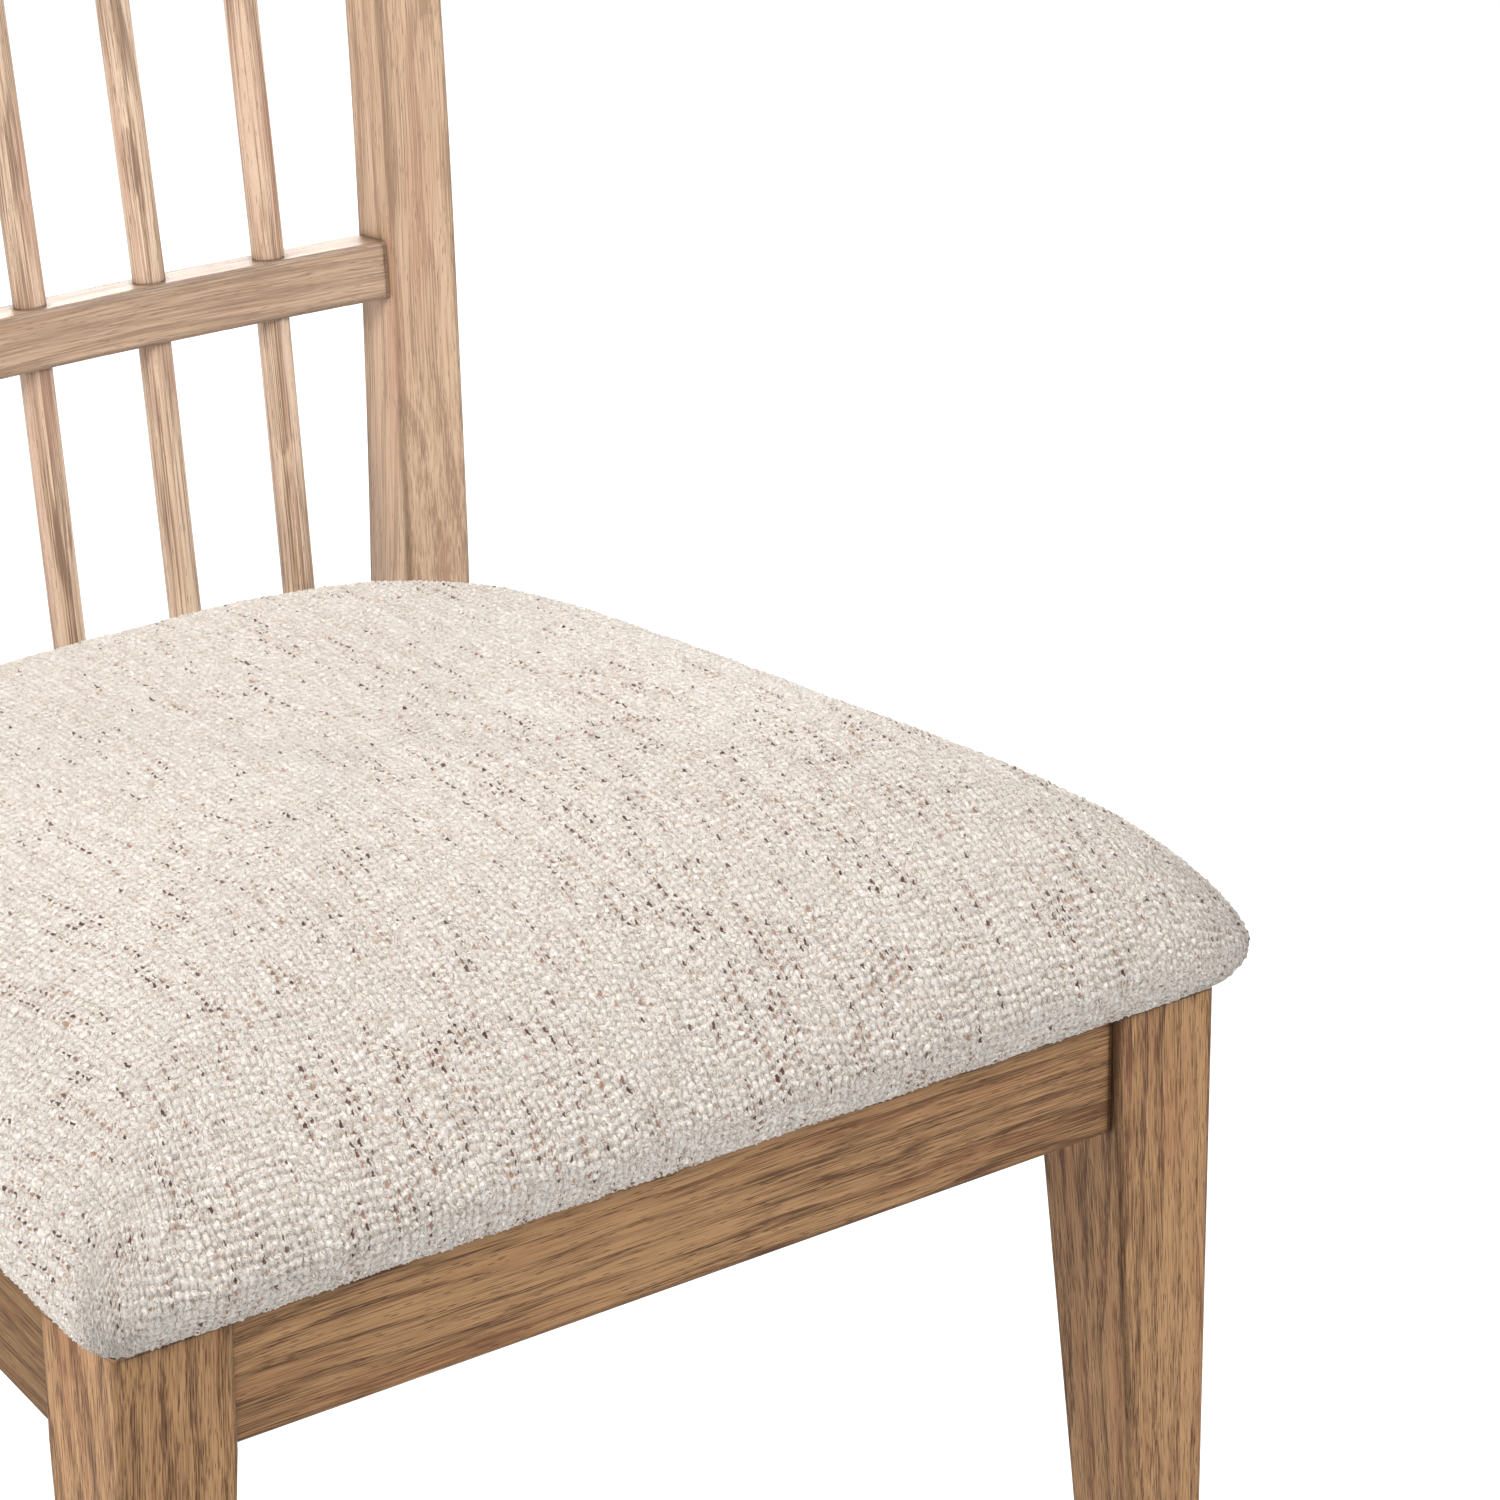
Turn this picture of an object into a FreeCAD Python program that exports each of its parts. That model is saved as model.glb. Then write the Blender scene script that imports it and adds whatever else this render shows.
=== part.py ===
import FreeCAD, Part
import math
import os

# Upholstered spindle-back dining chair, in millimetres.
# +Z is up, +Y points to the back of the chair and +X to the right of a viewer in front of it.
# Depths (y) are measured from the front face of the front legs while modelling. Every piece is
# moved by Y_MID when it is written, so that the origin ends on the floor under the middle.

V = FreeCAD.Vector
X_AXIS = V(1, 0, 0)
Y_AXIS = V(0, 1, 0)
Z_AXIS = V(0, 0, 1)

# seat frame
FRAME_HALF_WIDTH = 263.2      # centre plane to the outer face of a front leg
FRAME_TOP = 375.2             # top of the aprons and of the front legs
APRON_HEIGHT = 53.8
APRON_THICK = 22.0
APRON_BOTTOM = FRAME_TOP - APRON_HEIGHT
LEG_SECTION = 51.0            # front leg, square above its taper
LEG_FOOT_SECTION = 30.5
GLIDE_HEIGHT = 4.0
FRONT_APRON_SETBACK = 4.5
SIDE_APRON_SETBACK = 5.5
SIDE_SLOPE = 0.139            # how far a side apron runs inward per unit of depth
REAR_APRON_TOP = 425.6
REAR_APRON_THICK = 24.0
EASE = 2.0                    # radius of the eased long edges

# rear legs, each one piece from the foot to the top of the back
POST_INNER_X = 170.8
POST_WIDTH = 34.0
POST_FRONT_Y = 442.8
POST_TOP = 960.0
POST_TOP_ROUND = 6.0
POST_FOOT_Y = (516.0, 546.0)
POST_FOOT_INSET = 6.0
FLAT_BOTTOM = APRON_BOTTOM - 3.0
FLAT_TOP = 440.0
POST_LEAN = 0.022             # slope of the front face just above the seat
POST_LEAN_GROWTH = 2.29e-7    # cubic term that leans it back more towards the top
POST_WAIST_Y = 474.4          # back face where it is foremost
POST_WAIST_Z = 518.6
POST_BACK_CURVE = 1.652e-4    # parabola of the back face
SPLAY_POWER = 1.35            # above one the lower leg curves out towards the foot
LOWER_LEG_STEPS = (GLIDE_HEIGHT, 70.0, 140.0, 215.0)
POST_STEPS = (520.0, 620.0, 720.0, 820.0, 900.0)

# back rails: height, thickness, bow of the middle towards the back, lean in radians
LOWER_RAIL = {"z": 576.8, "y": 450.7, "height": 26.2, "thick": 21.7, "bow": 9.7, "lean": 0.073}
CREST_RAIL = {"z": 888.0, "y": 474.5, "height": 69.0, "thick": 20.0, "bow": 37.0, "lean": 0.150}
CREST_EASE = 4.0

# spindles
SPINDLE_RADIUS = 7.25
SPINDLE_PITCH = 59.4
SPINDLE_SEAT_Y = 451.5
TENON_RADIUS = 5.0
TENON_LENGTH = 9.0
HOUSING = 1.5                 # depth to which the full spindle enters a rail

# upholstered seat: a rounded trapezoid in plan, crowned, tight at the back and rolled at the front
SEAT_CROWN = 479.0
SEAT_BULGE = 397.0            # height of the widest line
SEAT_FRONT_Y = -14.0
SEAT_BACK_Y = 438.5
SEAT_FRONT_HALF = 280.5
SEAT_BACK_HALF = 222.0
FRONT_CORNER, BACK_CORNER, INNER_CORNER = 16.0, 3.4, 3.2    # superellipse exponents in plan
CORNER_FADE = 0.14            # share of the half depth over which the corners soften
FRONT_ROLL, SIDE_ROLL, BACK_ROLL = 2.8, 4.9, 13.0           # larger is a tighter shoulder
ROLL_POWER = 1.35
ROLL_TURN = 2.3               # how quickly the side shoulder changes into the end shoulder
SHOULDER_SHARES = (0.0, 0.02, 0.06, 0.12, 0.2, 0.32, 0.48, 0.7)
CROWN_SHARE = 0.92
SEAT_UNDERROLL = 16.0
UNDERROLL_TURNS = (90, 60, 30)
OUTLINE_POINTS = 96
COVER_THICK = 1.8
FLANGE_WIDTH = 62.0
BOARD_THICK = 12.0
BOARD_INSET = 26.0
DUST_COVER_THICK = 0.7
DUST_COVER_GAP = 2.0
DUST_COVER_LEG_GAP = 26.0     # how far its corner is cut back from a front leg
DUST_COVER_BACK_GAP = 8.0

# fixings
DOWEL_RADIUS = 5.0
DOWEL_HALF = 20.0
RAIL_DOWEL_HALF = 14.0
DOWEL_EDGE = 14.0             # dowel centre to the top or bottom of an apron
REAR_DOWEL_Z = (342.0, 373.0, 404.0)
REAR_DOWEL_SHIFT = 2.0
BLOCK_Z = (346.0, 372.0)
FRONT_BLOCK_REACH = (130.0, 135.0)      # x on the front apron and y on the side apron
REAR_BLOCK_REACH = (105.0, 360.0)
BLOCK_SCREWS = {"front": ((165.0, 52.0), (196.0, 92.0)), "rear": ((140.0, 425.0), (161.0, 394.0))}
SEAT_SCREWS = {"front": (186.0, 60.0), "rear": (165.0, 418.0)}
SCREW_STAGGER = 5.0
SCREW_RADIUS = 2.2
SCREW_HEAD_RADIUS = 4.2
SCREW_HEAD_HEIGHT = 2.6
SCREW_TIP_RADIUS = 0.4
SCREW_TIP_LENGTH = 8.0
RECESS_LENGTH, RECESS_WIDTH, RECESS_DEPTH = 5.0, 1.1, 1.4
BLOCK_SCREW_LENGTH = 44.0
SEAT_SCREW_LENGTH = 40.0
COUNTERBORE_RADIUS = 5.2
COUNTERBORE_LENGTH = 60.0
GLIDE_RADIUS = 10.5
GLIDE_PIN_RADIUS = 1.5
GLIDE_PIN_LENGTH = 16.0
GLIDE_CHAMFER = 1.2
CLEAR = 200.0                 # reach of a cutting body past anything it trims

Y_MID = (SEAT_FRONT_Y + POST_FOOT_Y[1]) / 2
LEG_INNER_X = FRAME_HALF_WIDTH - LEG_SECTION
SIDE_OUTER_X = FRAME_HALF_WIDTH - SIDE_APRON_SETBACK
SIDE_NORM = math.hypot(1.0, SIDE_SLOPE)
FRONT_APRON_BACK = FRONT_APRON_SETBACK + APRON_THICK
COVER_BOTTOM = FRAME_TOP + COVER_THICK


# ---------------------------------------------------------------- helpers

def box(x, y, z):
    """Box from three (low, high) pairs."""
    return Part.makeBox(x[1] - x[0], y[1] - y[0], z[1] - z[0], V(x[0], y[0], z[0]))


def rod(start, end, radius):
    return Part.makeCylinder(radius, (end - start).Length, start, end - start)


def mirrored(shape):
    return shape.mirror(V(0, 0, 0), X_AXIS)


def prism(points, low, high):
    """Vertical prism on a plan outline of (x, y) points."""
    wire = Part.makePolygon([V(x, y, low) for x, y in points + points[:1]])
    return Part.Face(wire).extrude(V(0, 0, high - low))


def spline(points, start=None, end=None):
    curve = Part.BSplineCurve()
    if start and end:
        curve.interpolate(Points=points, InitialTangent=start, FinalTangent=end)
    else:
        curve.interpolate(Points=points)
    return curve.toShape()


def eased(shape, radius, wanted):
    """Round the edges that wanted(edge) picks."""
    return shape.makeFillet(radius, [e for e in shape.Edges if wanted(e)])


def runs_along(axis, reach=0.6):
    """Test for a long edge that goes mostly along an axis."""
    def test(edge):
        first, last = edge.Vertexes[0].Point, edge.Vertexes[-1].Point
        run = last - first
        return run.Length > 20 and abs(run.dot(axis)) > reach * run.Length
    return test


def compound(solids):
    return Part.makeCompound(solids)


def side_x(y, inner):
    """Right side apron: x of its outer or inner face at a depth y."""
    return SIDE_OUTER_X - SIDE_SLOPE * (y - LEG_SECTION) - (APRON_THICK * SIDE_NORM if inner else 0)


# ---------------------------------------------------------------- legs

def front_leg():
    """Right front leg: square block, then a straight taper on its two inner faces."""
    block = box((LEG_INNER_X, FRAME_HALF_WIDTH), (0, LEG_SECTION), (APRON_BOTTOM, FRAME_TOP))
    top = square_wire(LEG_SECTION, APRON_BOTTOM)
    foot = square_wire(LEG_FOOT_SECTION, GLIDE_HEIGHT)
    leg = block.fuse(Part.makeLoft([foot, top], True, True)).removeSplitter()
    return eased(leg, EASE, runs_along(Z_AXIS))


def square_wire(size, z):
    low, high = FRAME_HALF_WIDTH - size, FRAME_HALF_WIDTH
    corners = [V(low, 0, z), V(high, 0, z), V(high, size, z), V(low, size, z)]
    return Part.makePolygon(corners + corners[:1])


def post_front(z):
    """Front face above the seat: nearly upright, leaning back more and more."""
    rise = z - FLAT_TOP
    return POST_FRONT_Y + POST_LEAN * rise + POST_LEAN_GROWTH * rise ** 3


def post_back(z):
    """Back face above the apron: a shallow parabola, foremost a little above the seat."""
    return POST_WAIST_Y + POST_BACK_CURVE * (z - POST_WAIST_Z) ** 2


def splay(z):
    """How far the rear leg has moved back at a height below the apron, from 0 to 1."""
    return ((FLAT_BOTTOM - z) / (FLAT_BOTTOM - GLIDE_HEIGHT)) ** SPLAY_POWER


def rear_leg():
    """Right rear leg: sabre-shaped side profile, flat where the seat frame meets it."""
    foot_front, foot_back = POST_FOOT_Y
    knee_back = post_back(FLAT_BOTTOM)
    upper = (FLAT_TOP,) + POST_STEPS + (POST_TOP,)

    def down(z, knee, foot):
        return V(POST_INNER_X, knee + (foot - knee) * splay(z), z)

    front_low = [down(z, POST_FRONT_Y, foot_front) for z in LOWER_LEG_STEPS]
    front_low.append(V(POST_INNER_X, POST_FRONT_Y, FLAT_BOTTOM))
    front_high = [V(POST_INNER_X, post_front(z), z) for z in upper]
    back = [down(z, knee_back, foot_back) for z in LOWER_LEG_STEPS]
    back += [V(POST_INNER_X, post_back(z), z) for z in (FLAT_BOTTOM,) + upper]
    edges = [
        spline(front_low, front_low[1] - front_low[0], Z_AXIS),
        Part.makeLine(front_low[-1], front_high[0]),
        spline(front_high, Z_AXIS, front_high[-1] - front_high[-2]),
        Part.makeLine(front_high[-1], back[-1]),
        spline(back),
        Part.makeLine(back[0], front_low[0]),
    ]
    face = Part.Face(Part.Wire(Part.__sortEdges__(edges)))
    leg = face.extrude(V(POST_WIDTH, 0, 0)).cut(foot_wedge())
    across = runs_along(X_AXIS)
    leg = eased(leg, POST_TOP_ROUND, lambda e: e.BoundBox.ZMin > POST_TOP - 1 and across(e))
    upright = [e for e in leg.Edges if e.BoundBox.XLength < POST_FOOT_INSET + 1]
    return leg.makeFillet(EASE, [e for e in upright if e.BoundBox.ZMax > GLIDE_HEIGHT + 1])


def foot_wedge():
    """What the taper takes off the inner face of a rear leg."""
    y = POST_FOOT_Y[1] - CLEAR
    clear = POST_INNER_X - POST_FOOT_INSET
    section = [(POST_INNER_X, FLAT_BOTTOM), (POST_INNER_X + POST_FOOT_INSET, 0)]
    section += [(clear, 0), (clear, FLAT_BOTTOM)]
    corners = [V(x, y, z) for x, z in section]
    return Part.Face(Part.makePolygon(corners + corners[:1])).extrude(V(0, 2 * CLEAR, 0))


# ---------------------------------------------------------------- aprons

def front_apron():
    y = (FRONT_APRON_SETBACK, FRONT_APRON_BACK)
    board = box((-LEG_INNER_X, LEG_INNER_X), y, (APRON_BOTTOM, FRAME_TOP))
    return eased(board, EASE, lambda e: runs_along(X_AXIS)(e) and e.Vertexes[0].Z < FRAME_TOP - 1)


def side_apron():
    """Right side apron, from the front leg's back face to the rear leg's front face."""
    outline = [(side_x(y, inner), y) for inner in (False, True) for y in (LEG_SECTION, POST_FRONT_Y)]
    outline = [outline[0], outline[1], outline[3], outline[2]]
    board = prism(outline, APRON_BOTTOM, FRAME_TOP)
    return eased(board, EASE, lambda e: runs_along(Y_AXIS)(e) and e.Vertexes[0].Z < FRAME_TOP - 1)


def rear_apron():
    """Taller than the others: it closes the gap behind the seat and holds the spindles."""
    y = (POST_FRONT_Y, POST_FRONT_Y + REAR_APRON_THICK)
    board = box((-POST_INNER_X, POST_INNER_X), y, (APRON_BOTTOM, REAR_APRON_TOP))
    return eased(board, EASE, runs_along(X_AXIS))


# ---------------------------------------------------------------- back

def rail_arc(rail):
    """Radius of the rail's front face in plan, and the depth of its centre."""
    radius = (POST_INNER_X ** 2 + rail["bow"] ** 2) / (2 * rail["bow"])
    return radius, rail["bow"] - radius


def rounded_section(y, z, radius):
    """Upright rectangle with rounded corners, as a face in the plane x = 0."""
    (y0, y1), (z0, z1) = y, z
    edges = []
    for (cy, cz), turn in zip(((y1, z1), (y0, z1), (y0, z0), (y1, z0)), range(4)):
        centre = V(0, cy + (radius if cy == y0 else -radius), cz + (radius if cz == z0 else -radius))
        spots = [math.radians(90 * turn + step) for step in (0, 45, 90)]
        edges.append(Part.Arc(*[centre + V(0, math.cos(a), math.sin(a)) * radius for a in spots]).toShape())
    ends = [(e.Vertexes[0].Point, e.Vertexes[-1].Point) for e in edges]
    sides = [Part.makeLine(ends[i][1], ends[(i + 1) % 4][0]) for i in range(4)]
    return Part.Face(Part.Wire(Part.__sortEdges__(edges + sides)))


def back_rail(rail, rounding):
    """Rail between the posts, bowed in plan: its section turned about an upright axis, then leaned back."""
    radius, centre = rail_arc(rail)
    swing = math.degrees(math.asin(POST_INNER_X / radius)) + 3
    section = rounded_section((rail["bow"], rail["bow"] + rail["thick"]), (0, rail["height"]), rounding)
    section.rotate(V(0, centre, 0), Z_AXIS, -swing)
    swept = section.revolve(V(0, centre, 0), Z_AXIS, 2 * swing)
    between = box((-POST_INNER_X, POST_INNER_X), (-CLEAR, CLEAR), (-CLEAR, CLEAR))
    bar = swept.common(between)
    bar.rotate(V(0, 0, 0), X_AXIS, -math.degrees(rail["lean"]))
    bar.translate(V(0, rail["y"], rail["z"]))
    return bar


def rail_middle(rail, x, height):
    """Point in the middle of a rail's thickness, at x and at a height up the rail."""
    radius, centre = rail_arc(rail)
    y = centre + math.sqrt((radius + rail["thick"] / 2) ** 2 - x ** 2)
    lean = rail["lean"]
    return V(
        x,
        rail["y"] + y * math.cos(lean) + height * math.sin(lean),
        rail["z"] - y * math.sin(lean) + height * math.cos(lean),
    )


def spindle(low, high):
    """Turned rod between two surface points, with a thinner tenon at each end."""
    along = (high - low).normalize()
    body = rod(low - along * HOUSING, high + along * HOUSING, SPINDLE_RADIUS)
    reach = along * (HOUSING + TENON_LENGTH)
    return body.fuse(rod(low - reach, high + reach, TENON_RADIUS)).removeSplitter()


def spindles():
    """Lower and upper spindle of each of the five lines, by node name."""
    nodes = {}
    for number in range(1, 6):
        x = (number - 3) * SPINDLE_PITCH
        seat = V(x, SPINDLE_SEAT_Y, REAR_APRON_TOP)
        rail_under = rail_middle(LOWER_RAIL, x, 0)
        rail_over = rail_middle(LOWER_RAIL, x, LOWER_RAIL["height"])
        nodes[f"lower_spindle_{number}"] = spindle(seat, rail_under)
        nodes[f"upper_spindle_{number}"] = spindle(rail_over, rail_middle(CREST_RAIL, x, 0))
    return nodes


# ---------------------------------------------------------------- upholstered seat

def seat_point(angle, inset, z):
    """Point at a height on the seat's outline moved inward, for a direction seen from its middle."""
    half_depth = (SEAT_BACK_Y - SEAT_FRONT_Y) / 2
    half_width = (SEAT_FRONT_HALF + SEAT_BACK_HALF) / 2
    taper = (SEAT_BACK_HALF - SEAT_FRONT_HALF) / (2 * half_width)
    c, s = math.cos(angle), math.sin(angle)
    outer = FRONT_CORNER if s < 0 else BACK_CORNER
    power = INNER_CORNER + (outer - INNER_CORNER) * math.exp(-inset / half_depth / CORNER_FADE)
    reach = (abs(c) ** power + abs(s) ** power) ** (-1 / power)
    depth = s * reach * (half_depth - inset)
    width = c * reach * (half_width - inset) * (1 + taper * depth / half_depth)
    return V(width, (SEAT_FRONT_Y + SEAT_BACK_Y) / 2 + depth, z)


def shoulder_height(angle, share, top):
    """Height of the upper surface at a share of the way from the widest line to the middle."""
    toward_end = abs(math.sin(angle)) ** ROLL_TURN
    end_roll = FRONT_ROLL if math.sin(angle) < 0 else BACK_ROLL
    roll = SIDE_ROLL + (end_roll - SIDE_ROLL) * toward_end
    return SEAT_BULGE + (top - SEAT_BULGE) * (1 - (1 - share) ** roll) ** (1 / ROLL_POWER)


def seat_wire(place):
    """Closed smooth wire through place(angle) all round the seat."""
    curve = Part.BSplineCurve()
    steps = [2 * math.pi * k / OUTLINE_POINTS for k in range(OUTLINE_POINTS)]
    curve.interpolate(Points=[place(a) for a in steps], PeriodicFlag=True)
    return Part.Wire(curve.toShape())


def seat_prism(inset, low, high):
    wire = seat_wire(lambda angle: seat_point(angle, inset, low))
    return Part.Face(wire).extrude(V(0, 0, high - low))


def seat_form(inset, low):
    """Crowned seat body, lofted from its underside round the widest line to the crown."""
    top = SEAT_CROWN - inset
    half_depth = (SEAT_BACK_Y - SEAT_FRONT_Y) / 2
    wires = []
    for turn in UNDERROLL_TURNS:
        step = SEAT_UNDERROLL * (1 - math.cos(math.radians(turn)))
        height = SEAT_BULGE - (SEAT_BULGE - low) * math.sin(math.radians(turn))
        wires.append(seat_wire(lambda angle: seat_point(angle, inset + step, height)))
    for share in SHOULDER_SHARES:
        step = inset + share * (half_depth - inset)
        wires.append(seat_wire(lambda angle: seat_point(angle, step, shoulder_height(angle, share, top))))
    wires.append(seat_wire(lambda angle: seat_point(angle, CROWN_SHARE * half_depth, top)))
    return Part.makeLoft(wires, True, False)


def seat_parts():
    """Fabric cover, foam and plywood board, one inside the other."""
    board = seat_prism(BOARD_INSET, COVER_BOTTOM, COVER_BOTTOM + BOARD_THICK)
    inside = seat_form(COVER_THICK, COVER_BOTTOM)
    foam = inside.cut(board)
    opening = seat_prism(FLANGE_WIDTH, FRAME_TOP - 1, COVER_BOTTOM)
    cover = seat_form(0.0, FRAME_TOP).cut(inside).cut(board).cut(opening)
    return {"seat_cover": cover, "seat_foam": foam, "seat_board": board}


def dust_cover():
    """Thin black cloth that closes the underside, within the seat frame."""
    front = FRONT_APRON_BACK + DUST_COVER_GAP
    past_leg = LEG_SECTION + DUST_COVER_LEG_GAP
    back = SEAT_BACK_Y - DUST_COVER_BACK_GAP
    corner = LEG_INNER_X - DUST_COVER_LEG_GAP
    half = [(corner, front), (side_x(past_leg, True) - DUST_COVER_GAP, past_leg)]
    half.append((side_x(back, True) - DUST_COVER_GAP, back))
    outline = half + [(-x, y) for x, y in reversed(half)]
    return prism(outline, FRAME_TOP - DUST_COVER_THICK, FRAME_TOP)


# ---------------------------------------------------------------- fixings

def dowel_pair(centre, along, half, heights):
    """Dowels through a joint face, one at each height."""
    middles = [V(centre.x, centre.y, z) for z in heights]
    return [rod(middle - along * half, middle + along * half, DOWEL_RADIUS) for middle in middles]


def frame_dowels():
    """Dowels of the seat frame and the back, grouped by joint."""
    low, high = APRON_BOTTOM + DOWEL_EDGE, FRAME_TOP - DOWEL_EDGE
    front_y = FRONT_APRON_SETBACK + APRON_THICK / 2
    front = dowel_pair(V(LEG_INNER_X, front_y, 0), X_AXIS, DOWEL_HALF, (low, high))
    along = V(-SIDE_SLOPE, 1, 0).normalize()
    side = []
    for y in (LEG_SECTION, POST_FRONT_Y):
        middle = (side_x(y, False) + side_x(y, True)) / 2
        side += dowel_pair(V(middle, y, 0), along, DOWEL_HALF, (low, high))
    rear_y = POST_FRONT_Y + REAR_APRON_THICK / 2 + REAR_DOWEL_SHIFT
    rear = dowel_pair(V(POST_INNER_X, rear_y, 0), X_AXIS, RAIL_DOWEL_HALF, REAR_DOWEL_Z)
    back = []
    for rail, shares in ((LOWER_RAIL, (0.5,)), (CREST_RAIL, (0.25, 0.7))):
        for share in shares:
            spot = rail_middle(rail, POST_INNER_X, share * rail["height"])
            back += dowel_pair(spot, X_AXIS, RAIL_DOWEL_HALF, (spot.z,))
    groups = {"front_apron_dowels": front, "side_apron_dowels": side,
              "rear_apron_dowels": rear, "back_rail_dowels": back}
    return {name: compound(rods + [mirrored(r) for r in rods]) for name, rods in groups.items()}


def front_block():
    """Right front corner block, fitted round the leg."""
    corner = (LEG_INNER_X, LEG_SECTION)
    x, y = FRONT_BLOCK_REACH
    outline = [(x, FRONT_APRON_BACK), (LEG_INNER_X, FRONT_APRON_BACK), corner,
               (side_x(LEG_SECTION, True), LEG_SECTION), (side_x(y, True), y)]
    return prism(outline, *BLOCK_Z)


def rear_block():
    x, y = REAR_BLOCK_REACH
    outline = [(x, POST_FRONT_Y), (side_x(POST_FRONT_Y, True), POST_FRONT_Y), (side_x(y, True), y)]
    return prism(outline, *BLOCK_Z)


def wood_screw(head, along, length):
    """Countersunk screw with a cross recess, from the middle of its head along its shank."""
    radius, rise = SCREW_HEAD_RADIUS, SCREW_HEAD_HEIGHT
    cone = Part.makeCone(radius, SCREW_RADIUS, rise, head, along)
    straight = length - SCREW_TIP_LENGTH
    shank = Part.makeCylinder(SCREW_RADIUS, straight, head, along)
    tip = Part.makeCone(SCREW_RADIUS, SCREW_TIP_RADIUS, SCREW_TIP_LENGTH, head + along * straight, along)
    screw = shank.fuse(cone).fuse(tip).removeSplitter()
    long, wide = (-RECESS_LENGTH / 2, RECESS_LENGTH / 2), (-RECESS_WIDTH / 2, RECESS_WIDTH / 2)
    recess = box(long, wide, (0, RECESS_DEPTH)).fuse(box(wide, long, (0, RECESS_DEPTH)))
    recess.Placement = FreeCAD.Placement(head, FreeCAD.Rotation(Z_AXIS, along))
    return screw, recess


def counterbore(head, along):
    return Part.makeCylinder(COUNTERBORE_RADIUS, COUNTERBORE_LENGTH, head, along * -1)


def block_screws():
    """(head point, direction) of the screws that hold the two right-hand corner blocks."""
    middle = sum(BLOCK_Z) / 2
    outward = V(1, SIDE_SLOPE, 0).normalize()
    screws = {}
    for place, to_apron in (("front", Y_AXIS * -1), ("rear", Y_AXIS)):
        (x, y), (side_screw_x, side_screw_y) = BLOCK_SCREWS[place]
        screws[place] = [(V(x, y, middle - SCREW_STAGGER), to_apron),
                         (V(side_screw_x, side_screw_y, middle + SCREW_STAGGER), outward)]
    return screws


def glide(x, y):
    """Nylon glide: a chamfered disc with a pin up into the leg."""
    disc = Part.makeCylinder(GLIDE_RADIUS, GLIDE_HEIGHT, V(x, y, 0))
    disc = disc.makeChamfer(GLIDE_CHAMFER, [e for e in disc.Edges if e.BoundBox.ZMax < 0.1])
    pin = Part.makeCylinder(GLIDE_PIN_RADIUS, GLIDE_PIN_LENGTH, V(x, y, GLIDE_HEIGHT))
    return disc.fuse(pin).removeSplitter()


# ---------------------------------------------------------------- assembly

def both_sides(nodes, pattern, shape):
    """Store a right-hand piece and its mirror image under the two names."""
    nodes[pattern.format("right")] = shape
    nodes[pattern.format("left")] = mirrored(shape)


def frame_nodes():
    nodes = {"front_apron": front_apron(), "rear_apron": rear_apron(),
             "lower_back_rail": back_rail(LOWER_RAIL, EASE), "crest_rail": back_rail(CREST_RAIL, CREST_EASE)}
    both_sides(nodes, "front_{}_leg", front_leg())
    both_sides(nodes, "rear_{}_leg", rear_leg())
    both_sides(nodes, "{}_side_apron", side_apron())
    return nodes


def fitted_blocks(nodes):
    """Corner blocks, their screws and the seat screws, with the holes they need."""
    frame_screws, seat_screws = [], []
    blocks = {"front": front_block(), "rear": rear_block()}
    for place, screws in block_screws().items():
        solids = [wood_screw(head, along, BLOCK_SCREW_LENGTH) for head, along in screws]
        for (head, along), (screw, recess) in zip(screws, solids):
            blocks[place] = blocks[place].cut(screw).cut(counterbore(head, along))
            frame_screws.append(screw.cut(recess))
            drill(nodes, [f"{place}_apron", "right_side_apron"], screw)
            drill(nodes, [f"{place}_apron", "left_side_apron"], mirrored(screw))
        screw, recess = wood_screw(V(*SEAT_SCREWS[place], BLOCK_Z[0]), Z_AXIS, SEAT_SCREW_LENGTH)
        blocks[place] = blocks[place].cut(screw)
        seat_screws.append(screw.cut(recess))
        for hole in (screw, mirrored(screw)):
            drill(nodes, ["seat_board", "seat_cover", "dust_cover"], hole)
        both_sides(nodes, place + "_{}_corner_block", blocks[place])
    nodes["corner_block_screws"] = compound(frame_screws + [mirrored(s) for s in frame_screws])
    nodes["seat_screws"] = compound(seat_screws + [mirrored(s) for s in seat_screws])


def drill(nodes, names, tool):
    for name in names:
        nodes[name] = nodes[name].cut(tool)


def fit_dowels(nodes):
    dowels = frame_dowels()
    joined = {
        "front_apron_dowels": ["front_apron", "front_left_leg", "front_right_leg"],
        "side_apron_dowels": ["left_side_apron", "right_side_apron", "front_left_leg",
                              "front_right_leg", "rear_left_leg", "rear_right_leg"],
        "rear_apron_dowels": ["rear_apron", "rear_left_leg", "rear_right_leg"],
        "back_rail_dowels": ["lower_back_rail", "crest_rail", "rear_left_leg", "rear_right_leg"],
    }
    for name, receivers in joined.items():
        drill(nodes, receivers, dowels[name])
    nodes.update(dowels)


def fit_spindles(nodes):
    for name, rod_shape in spindles().items():
        rails = ["lower_back_rail", "rear_apron" if name.startswith("lower") else "crest_rail"]
        drill(nodes, rails, rod_shape)
        nodes[name] = rod_shape


def fit_glides(nodes):
    middle = FRAME_HALF_WIDTH - LEG_FOOT_SECTION / 2
    spots = {"front": (middle, LEG_FOOT_SECTION / 2),
             "rear": (POST_INNER_X + (POST_WIDTH + POST_FOOT_INSET) / 2, sum(POST_FOOT_Y) / 2)}
    for place, (x, y) in spots.items():
        shape = glide(x, y)
        for side, foot in (("right", shape), ("left", mirrored(shape))):
            drill(nodes, [f"{place}_{side}_leg"], foot)
            nodes[f"{place}_{side}_glide"] = foot


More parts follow.
